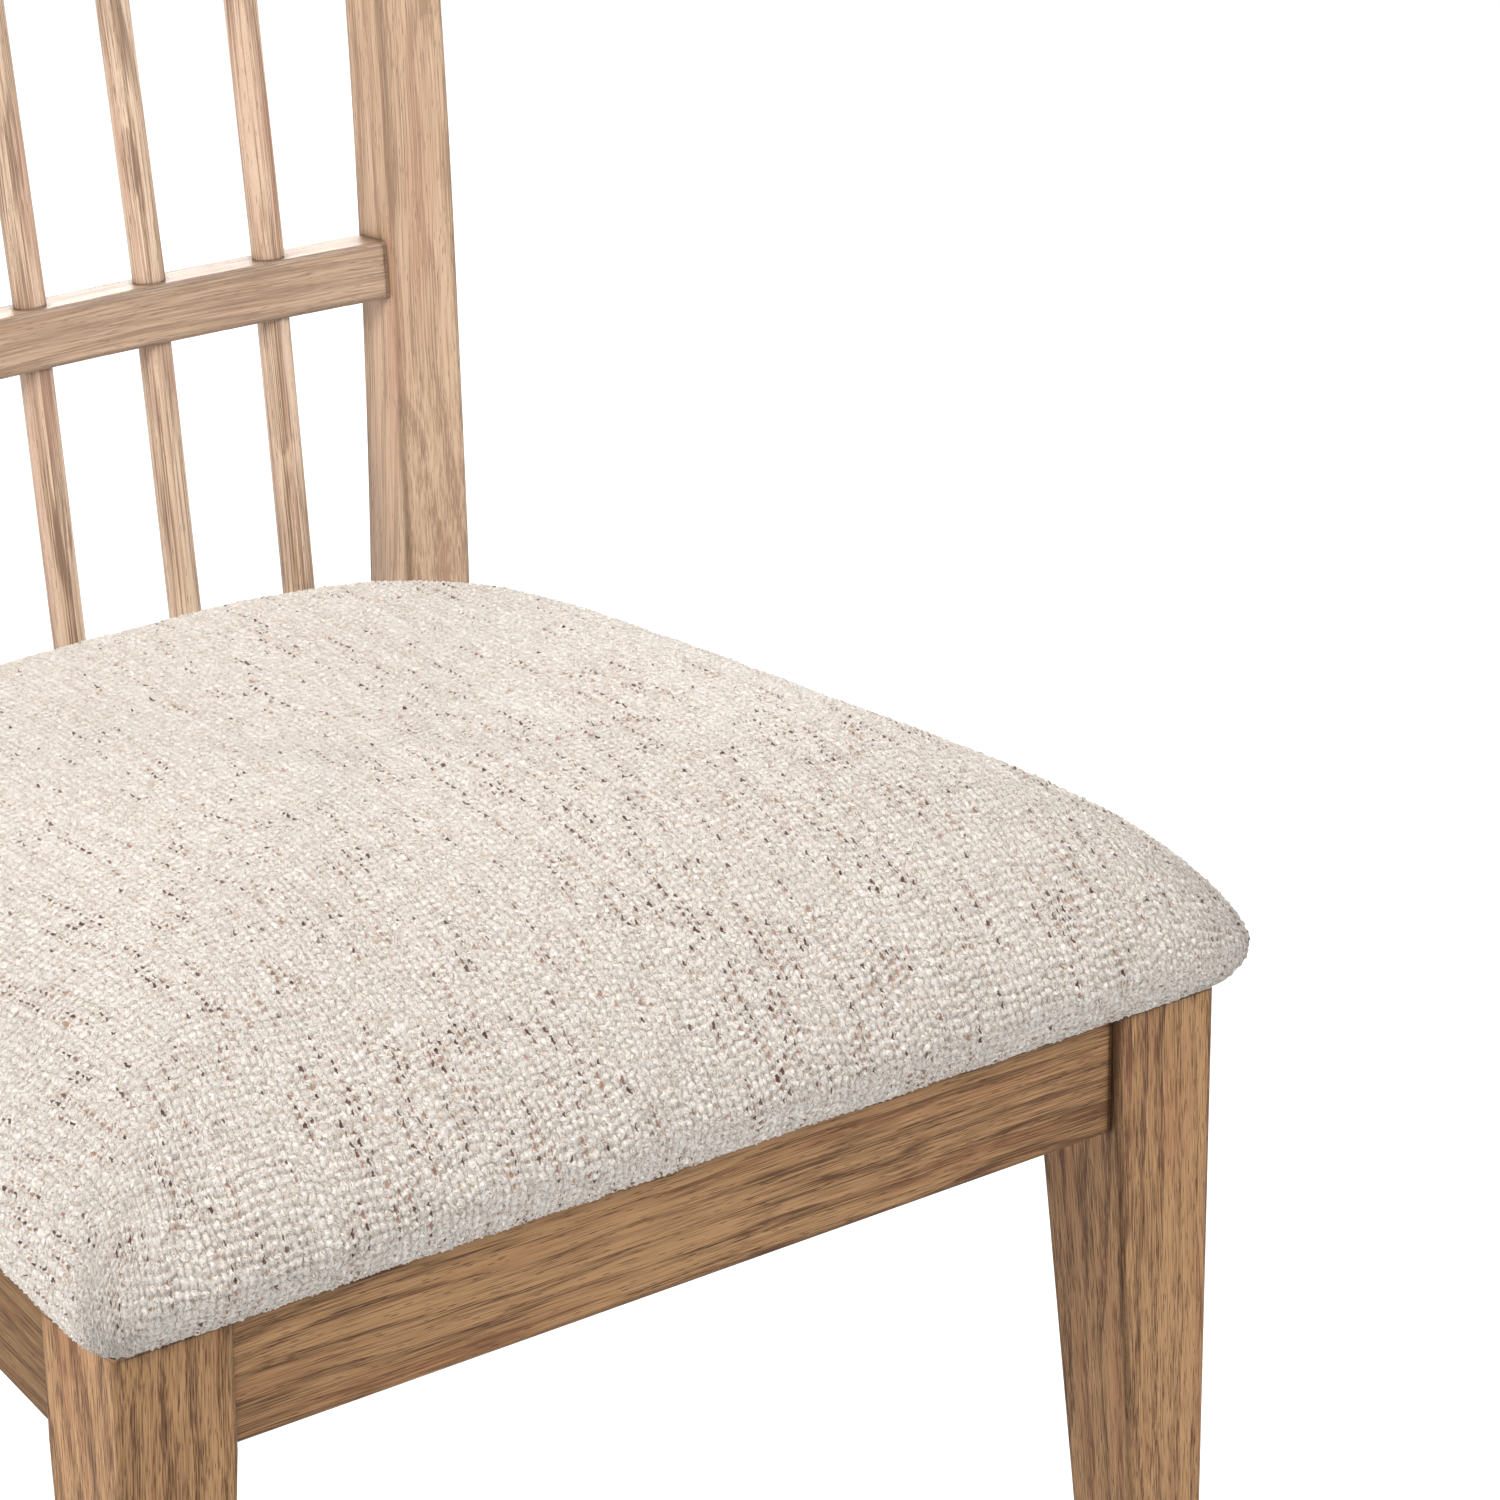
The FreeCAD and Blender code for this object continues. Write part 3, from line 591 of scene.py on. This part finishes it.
def turned_under(points, cloth, rim):
    """Rings of cloth turned in under the board from the rim, added to the points, with their faces."""
    middle = np.array([0, MIDDLE_Y])
    edge, edge_cloth = points[rim], cloth[rim]
    reach = np.linalg.norm(edge[:, :2] - middle, axis=1, keepdims=True)
    rows = [rim]
    for ring in range(1, UNDER_RINGS + 1):
        share = ring / UNDER_RINGS
        pulled = edge.copy()
        pulled[:, :2] = middle + (edge[:, :2] - middle) * (1 - FLANGE * share / reach)
        pulled[:, 2] += FLANGE_LIFT * share
        rows.append(np.arange(len(points), len(points) + len(rim)))
        points = np.concatenate([points, pulled])
        cloth = np.concatenate([cloth, edge_cloth + pulled[:, :2] - edge[:, :2]])
    loops = [np.stack([a, b, np.roll(b, -1), np.roll(a, -1)], -1) for a, b in zip(rows, rows[1:])]
    return points, cloth, np.concatenate(loops)


def quad_mesh(name, points, quads):
    mesh = bpy.data.meshes.new(name)
    mesh.vertices.add(len(points))
    mesh.vertices.foreach_set("co", points.astype(np.float32).ravel())
    mesh.loops.add(quads.size)
    mesh.loops.foreach_set("vertex_index", quads.astype(np.int32).ravel())
    mesh.polygons.add(len(quads))
    mesh.polygons.foreach_set("loop_start", np.arange(0, quads.size, 4, dtype=np.int32))
    mesh.update(calc_edges=True)
    mesh.polygons.foreach_set("use_smooth", np.ones(len(quads), bool))
    return mesh


def make_cushion():
    """The pad's cover on a square grid that is bent into nested outlines. Each point stores its place on
    the flat cloth."""
    rings = RINGS
    insets, unders = even_steps(rings + 1)
    i, j = np.meshgrid(np.arange(-rings, rings + 1), np.arange(-rings, rings + 1), indexing="ij")
    ring = np.maximum(np.abs(i), np.abs(j))
    safe = np.maximum(ring, 1)
    across, along = i / safe, np.where(ring == 0, 1e-6, j / safe)
    points, outward = seat_surface(across, along, insets[ring], unders[ring])
    drawn = drawn_over(insets, unders, np.arctan2(along, across), ring)
    cloth = points[..., :2] + outward * drawn[..., None]

    index = np.arange(ring.size).reshape(ring.shape)
    rim = np.concatenate([index[:-1, 0], index[-1, :-1], index[:0:-1, -1], index[0, :0:-1]])
    points, cloth, under_quads = turned_under(points.reshape(-1, 3), cloth.reshape(-1, 2), rim)
    mesh = quad_mesh("seat_cushion", points, np.concatenate([quad_grid(index), under_quads]))
    flat = np.column_stack([cloth, np.zeros(len(cloth))]).astype(np.float32)
    mesh.attributes.new("cloth", "FLOAT_VECTOR", "POINT").data.foreach_set("vector", flat.ravel())
    mesh.validate()
    cushion = bpy.data.objects.new("seat_cushion", mesh)
    bpy.context.scene.collection.objects.link(cushion)
    return cushion


# ---------------------------------------------------------------- tweed

YARN_PITCH = 0.0034             # a column of tufts
PICK_PITCH = 0.0042             # a tuft along its column
DRIFT_FREQUENCY = 90
DRIFT = 0.0034                  # how far the columns wander
FRAY_FREQUENCY = 620
FRAY = 0.0027                   # how ragged a tuft's outline is
# On the front roll the tufts are bigger, and the fibre contrast and painted gap shade are stronger.
FRONT_ROLL, SEAT_MIDDLE = -0.22, 0.05       # the coarser look of the front fades out between these depths

# Loose fibres lie in two directions over the tufts. Frequencies are per metre, across and along them.
FIBRE_SWAY_FREQUENCY = 260
FIBRE_SWAY = 0.004
PILE_TURN = (0, 0, math.radians(-28))
CROSS_TURN = (0, 0, math.radians(24))
PILE_FREQUENCY = (2300, 520, 1)
CROSS_FREQUENCY = (2600, 640, 1)
FUZZ_FREQUENCY = (4200, 1500, 1)
SHADE_STREAK_FREQUENCY = (300, 8, 1)
PATCH_FREQUENCY = (26, 9, 1)
TINT_FREQUENCY = (210, 150, 1)
TWEED_STOPS = [(0.22, (0.48, 0.375, 0.295)), (0.38, (0.83, 0.725, 0.630)),
               (0.54, (0.96, 0.880, 0.805)), (0.72, (1.0, 0.955, 0.905))]
BEIGE = (0.66, 0.47, 0.35, 1)
# Colour of the painted shade in the gaps between tufts.
PAINTED_GAP_SHADE = (0.40, 0.29, 0.22, 1)
WEAVE_DEPTH = 0.0024

# Pinholes run in strings along the columns, between the tufts.
STRING_FREQUENCY = (7.31, 0.16)             # per column, and per tuft along it
HOLE_SHAPE = (1.35, 0.72, 0)
DARK_STAIN = (0.120, 0.032, 0.012, 1)
RUSTY_STAIN = (0.44, 0.17, 0.075, 1)

NUB_HEIGHT = (0.0012, 0.0016)               # the least, and what chance adds
NUB_LEVEL = 0.40                            # distance from a tuft's middle that isn't raised
SWELL = 0.0026
SWELL_FREQUENCY = 30


def weave(s, cloth):
    """Tufts standing in columns from front to back, each column out of step with the next. Returns the
    place in the frayed weave, in metres and in columns and rows, and the number of the column."""
    grid = s.moved(cloth, s.noise(cloth, grey(DRIFT_FREQUENCY), 1.0, output="Color"), grey(DRIFT))
    frayed = s.moved(grid, s.noise(cloth, grey(FRAY_FREQUENCY), output="Color"), grey(FRAY))
    across, along, _ = s.split(s.stretched(frayed, (1 / YARN_PITCH, 1 / PICK_PITCH, 1)))
    column = s.math("FLOOR", across)
    out_of_step = s.chances(s.joined(column, 0.5))[0]
    return frayed, s.joined(across, s.plus(along, out_of_step)), column


def tuft(s, column_place, shape=(1, 1, 0)):
    """Distance from the middle of a tuft of that shape, and its three chances."""
    cell = s.vector_math("FLOOR", column_place).outputs[0]
    inside = s.vector_math("SUBTRACT", column_place, cell).outputs[0]
    return s.length(s.stretched(s.added(inside, (-0.5, -0.5, 0)), shape)), s.chances(cell)


def by_depth(s, cloth, front, middle):
    """A number that changes from the front roll to the middle of the seat."""
    return s.step(s.split(cloth)[1], FRONT_ROLL, SEAT_MIDDLE, front, middle)


def pinholes(s, cloth, column_place, column, patch, strand):
    """How deep the pinholes are, and their colour: strings of holes, and a few that stand alone."""
    middle, chance = tuft(s, s.added(column_place, (0, 0.5, 0)), HOLE_SHAPE)
    across, along = STRING_FREQUENCY
    string_place = s.joined(s.times(column, across), s.times(s.split(column_place)[1], along))
    crowd = s.plus(s.noise(string_place, detail=0.0), s.times(patch, 0.35))
    crowd = s.plus(crowd, s.step(s.split(cloth)[1], 0.10, FRONT_ROLL, -0.037, 0.03))
    in_string = s.step(s.plus(crowd, s.times(chance[0], 0.12)), 0.878, 0.894)
    alone = s.step(chance[0], 0.980, 0.984)
    size = s.weighted((chance[2], 0.13), (strand, 0.55))
    hole = s.times(s.step(s.minus(size, middle), 0.08, 0.15), s.math("MAXIMUM", in_string, alone))
    hole = s.times(hole, s.step(chance[1], 0.0, 1.0, 1.0, 0.72))
    return hole, s.mix(s.step(chance[1], 0.30, 0.75), DARK_STAIN, RUSTY_STAIN)


def tweed():
    """Cream chenille tweed: tufts crossed by loose fibres, beige flecks, painted shade in the gaps between
    tufts, and rusty pinholes.
    """
    s = Shader("cream_tweed")
    cloth = s.node("ShaderNodeAttribute", {"attribute_name": "cloth"}).outputs["Vector"]
    frayed, column_place, column = weave(s, cloth)
    distance, chance = tuft(s, column_place)
    fibre_sway = s.noise(cloth, grey(FIBRE_SWAY_FREQUENCY), 1.0, output="Color")
    loose = s.moved(frayed, fibre_sway, grey(FIBRE_SWAY))
    pile = s.turned(loose, PILE_TURN)
    stroke = s.noise(pile, PILE_FREQUENCY, 2.0, 0.6)
    cross = s.noise(s.turned(loose, CROSS_TURN), CROSS_FREQUENCY, 1.0)
    strand = s.weighted((stroke, 0.6), (cross, 0.4))
    band = s.noise(frayed, SHADE_STREAK_FREQUENCY)
    patch = s.noise(frayed, PATCH_FREQUENCY, 3.0)

    # Tone of the cloth. The streaks along the columns and the darkening towards each tuft's edge are
    # painted shade. The stronger fibre contrast on the front roll partly stands in for grazing light
    # there. The cloth is also darker towards the middle of the seat.
    shade = s.weighted(
        (s.minus(strand, 0.5), by_depth(s, cloth, 3.2, 2.1)),
        (chance[0], 0.14),
        (band, by_depth(s, cloth, 0.24, 0.42)),
        (by_depth(s, cloth, 0.0, 0.09), -1.0),
        (distance, -0.30),
    )
    colour = s.ramp(s.plus(shade, 0.475), TWEED_STOPS)
    fleck = s.step(s.noise(frayed, TINT_FREQUENCY), 0.58, 0.70)
    colour = s.mix(s.times(fleck, s.step(patch, 0.42, 0.62, 0.10, 0.60)), colour, BEIGE)
    # Painted shade in the gaps between tufts, stronger on the front roll.
    gap_shade = s.times(s.step(distance, 0.38, 0.64), s.step(cross, 0.35, 0.60, 0.60, 0.12))
    colour = s.mix(s.times(gap_shade, by_depth(s, cloth, 1.45, 0.75)), colour, PAINTED_GAP_SHADE)
    hole, stain = pinholes(s, cloth, column_place, column, patch, strand)
    fuzz = s.noise(pile, FUZZ_FREQUENCY, 1.0)
    height = s.weighted((strand, 1.0), (distance, -1.0), (fuzz, 0.30), (hole, -0.5))
    return s.finish(
        Base_Color=s.mix(hole, colour, stain),
        Roughness=s.step(stroke, 0.3, 0.7, 0.95, 0.8),
        Normal=s.bump(height, WEAVE_DEPTH),
        Specular_IOR_Level=0.2,
        Sheen_Weight=0.22,
        Sheen_Roughness=0.55,
    )


def nub_tree():
    """Geometry nodes that raise each tuft of the weave, from the same columns as the tweed's."""
    s = Nodes(bpy.data.node_groups.new("nubs", "GeometryNodeTree"))
    for direction in ("INPUT", "OUTPUT"):
        s.tree.interface.new_socket("Geometry", in_out=direction, socket_type="NodeSocketGeometry")
    start = s.node("NodeGroupInput").outputs[0]
    stored = s.node("GeometryNodeInputNamedAttribute", {"data_type": "FLOAT_VECTOR"}, Name="cloth")
    cloth = stored.outputs[0]
    _, column_place, _ = weave(s, cloth)
    distance, chance = tuft(s, column_place)
    least, added = NUB_HEIGHT
    height = s.times(s.plus(s.times(chance[2], added), least), by_depth(s, cloth, 1.35, 1.0))
    raised = s.times(s.minus(NUB_LEVEL, distance), height)
    uneven = s.noise(cloth, grey(SWELL_FREQUENCY), 3.0)
    swell = s.times(s.minus(uneven, 0.5), SWELL)
    normal = s.node("GeometryNodeInputNormal").outputs[0]
    shift = s.vector_math("SCALE", normal)
    s.feed(shift.inputs["Scale"], s.plus(raised, swell))
    moved = s.node("GeometryNodeSetPosition", Geometry=start, Offset=shift.outputs[0]).outputs[0]
    s.node("NodeGroupOutput", i0=moved)
    return s.tree


def raise_nubs(cushion):
    modifier = cushion.modifiers.new("nubs", "NODES")
    modifier.node_group = nub_tree()
    bpy.context.view_layer.update()
    depsgraph = bpy.context.evaluated_depsgraph_get()
    evaluated = cushion.evaluated_get(depsgraph)
    mesh = bpy.data.meshes.new_from_object(evaluated, preserve_all_data_layers=True, depsgraph=depsgraph)
    cushion.modifiers.clear()
    cushion.data = mesh


# ---------------------------------------------------------------- dust cover

# Half outline of the cloth as (half width, depth), front to back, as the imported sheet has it.
DUST_LOW, DUST_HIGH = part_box("dust_cover")
DUST_HALF = ((0.1862, DUST_LOW.y), (DUST_HIGH.x, DUST_LOW.y + 0.0485), (0.1807, DUST_HIGH.y))
DUST_STEPS = 90
DUST_SAG = 0.0035
DUST_GAP = 0.0004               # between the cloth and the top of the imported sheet
PULL_DEPTH = 0.004
STAPLE_WIDTH = 0.0100
STAPLE_LEG = 0.0014
STAPLE_BEND = 0.0006
STAPLE_WIRE = 0.0005
STAPLE_PITCH = 0.038
STAPLE_INSET = 0.007
STAPLE_SKEW = 0.12


def dust_half_width(y):
    return np.interp(y, [point[1] for point in DUST_HALF], [point[0] for point in DUST_HALF])


def new_mesh_object(name, points, faces):
    mesh = bpy.data.meshes.new(name)
    mesh.from_pydata([tuple(point) for point in points], [], [tuple(face) for face in faces])
    mesh.polygons.foreach_set("use_smooth", np.ones(len(mesh.polygons), bool))
    piece = bpy.data.objects.new(name, mesh)
    bpy.context.scene.collection.objects.link(piece)
    return piece


def make_dust_cover():
    """Black cloth stapled under the seat. It sags a little, with soft pulls between the staples."""
    across, along = np.meshgrid(np.linspace(-1, 1, DUST_STEPS + 1), np.linspace(0, 1, DUST_STEPS + 1))
    y = DUST_LOW.y + along * (DUST_HIGH.y - DUST_LOW.y)
    x = across * dust_half_width(y)
    sag = DUST_SAG * (1 - across ** 2) * (1 - (2 * along - 1) ** 2)
    outer = np.maximum(np.abs(across), np.abs(2 * along - 1))
    pulls = PULL_DEPTH * outer ** 6 * (1 - outer) * np.sin(2 * math.pi * (x + y) / STAPLE_PITCH)
    z = DUST_HIGH.z - DUST_GAP - sag - np.abs(pulls)
    faces = quad_grid(np.arange((DUST_STEPS + 1) ** 2).reshape(DUST_STEPS + 1, -1))
    return new_mesh_object("dust_cloth", np.stack([x, y, z], -1).reshape(-1, 3), faces)


def staple_spots():
    """(x, y, direction along the hem) of the staples, all round the cloth."""
    half = [Vector((x, y)) for x, y in DUST_HALF]
    outline = half + [Vector((-p.x, p.y)) for p in reversed(half)]
    middle = Vector((0, (DUST_LOW.y + DUST_HIGH.y) / 2))
    for start, end in zip(outline, outline[1:] + outline[:1]):
        run = (end - start).normalized()
        inward = Vector((-run.y, run.x))
        inward *= math.copysign(STAPLE_INSET, inward.dot(middle - start))
        count = max(1, round((end - start).length / STAPLE_PITCH))
        for step in range(count):
            spot = start + (end - start) * (step + 0.5) / count + inward
            yield spot.x, spot.y, run


def make_staples():
    """Wire staples: a crown with two legs bent up into the board, each with a square wire section."""
    points, faces = [], []
    rng = np.random.default_rng(3)
    half, wire, bend = STAPLE_WIDTH / 2, STAPLE_WIRE / 2, STAPLE_BEND
    path = [(-half, STAPLE_LEG), (-half, bend), (-half + bend, 0)]
    path += [(-offset, rise) for offset, rise in reversed(path)]
    level = DUST_HIGH.z - DUST_GAP - STAPLE_WIRE
    for x, y, run in staple_spots():
        turn = math.atan2(run.y, run.x) + rng.normal(0, STAPLE_SKEW)
        along = Vector((math.cos(turn), math.sin(turn), 0))
        side = Vector((-math.sin(turn), math.cos(turn), 0))
        first = len(points)
        for number, (offset, rise) in enumerate(path):
            before, after = path[max(number - 1, 0)], path[min(number + 1, len(path) - 1)]
            ahead = Vector((after[0] - before[0], after[1] - before[1])).normalized()
            out = along * -ahead.y + Vector((0, 0, ahead.x))
            centre = Vector((x, y, level)) + along * offset + Vector((0, 0, rise))
            for a, b in ((-1, -1), (1, -1), (1, 1), (-1, 1)):
                points.append(centre + side * wire * a + out * wire * b)
        for ring in range(len(path) - 1):
            low = first + 4 * ring
            for k in range(4):
                faces.append((low + k, low + (k + 1) % 4, low + 4 + (k + 1) % 4, low + 4 + k))
        last = first + 4 * (len(path) - 1)
        faces += [(first + 3, first + 2, first + 1, first), (last, last + 1, last + 2, last + 3)]
    return new_mesh_object("dust_cover_staples", points, faces)


def nonwoven():
    s = Shader("black_nonwoven")
    place = s.place()
    cells = s.node("ShaderNodeTexVoronoi", {"voronoi_dimensions": "2D"},
                   Vector=s.stretched(place, grey(720)), Scale=1.0, Randomness=0.1)
    dimple = cells.outputs["Distance"]
    fibre = s.noise(place, (900, 2600, 1), 4.0, 0.65)
    tone = s.weighted((fibre, 0.7), (s.step(dimple, 0.15, 0.4), 0.3))
    return s.finish(
        Base_Color=s.ramp(tone, [(0.35, (0.010, 0.010, 0.012)), (0.75, (0.045, 0.045, 0.050))]),
        Roughness=s.step(tone, 0.3, 0.8, 0.95, 0.75),
        Normal=s.bump(tone, 0.0004),
    )


# ---------------------------------------------------------------- floor

FLOOR_REACH = 30.0
FLOOR_GLOW = 0.72               # makes the floor read as an evenly lit white sweep


def make_floor():
    mesh = bpy.data.meshes.new("floor")
    corners = [(x * FLOOR_REACH, y * FLOOR_REACH, 0) for x, y in ((-1, -1), (1, -1), (1, 1), (-1, 1))]
    mesh.from_pydata(corners, [], [(0, 1, 2, 3)])
    floor = bpy.data.objects.new("floor", mesh)
    bpy.context.scene.collection.objects.link(floor)
    mesh.materials.append(Shader("floor").finish(
        Base_Color=(0.50, 0.50, 0.50, 1), Roughness=0.9, Specular_IOR_Level=0.1,
        Emission_Color=(1, 1, 1, 1), Emission_Strength=FLOOR_GLOW))


# ---------------------------------------------------------------- build

make_camera()
make_light()
make_floor()
dress_wood()
for node in ("corner_block_screws", "seat_screws"):
    dress(node, zinc())
for foot in ("front_left", "front_right", "rear_left", "rear_right"):
    dress(foot + "_glide", nylon())
dress("seat_board", plywood())

cushion = make_cushion()
raise_nubs(cushion)
cushion.data.materials.clear()
cushion.data.materials.append(tweed())
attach(cushion, "root")
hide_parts("seat_cover", "seat_foam")

dust_cloth = make_dust_cover()
dust_cloth.data.materials.append(nonwoven())
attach(dust_cloth, "root")
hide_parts("dust_cover")
staples = make_staples()
staples.data.materials.append(zinc())
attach(staples, "root")
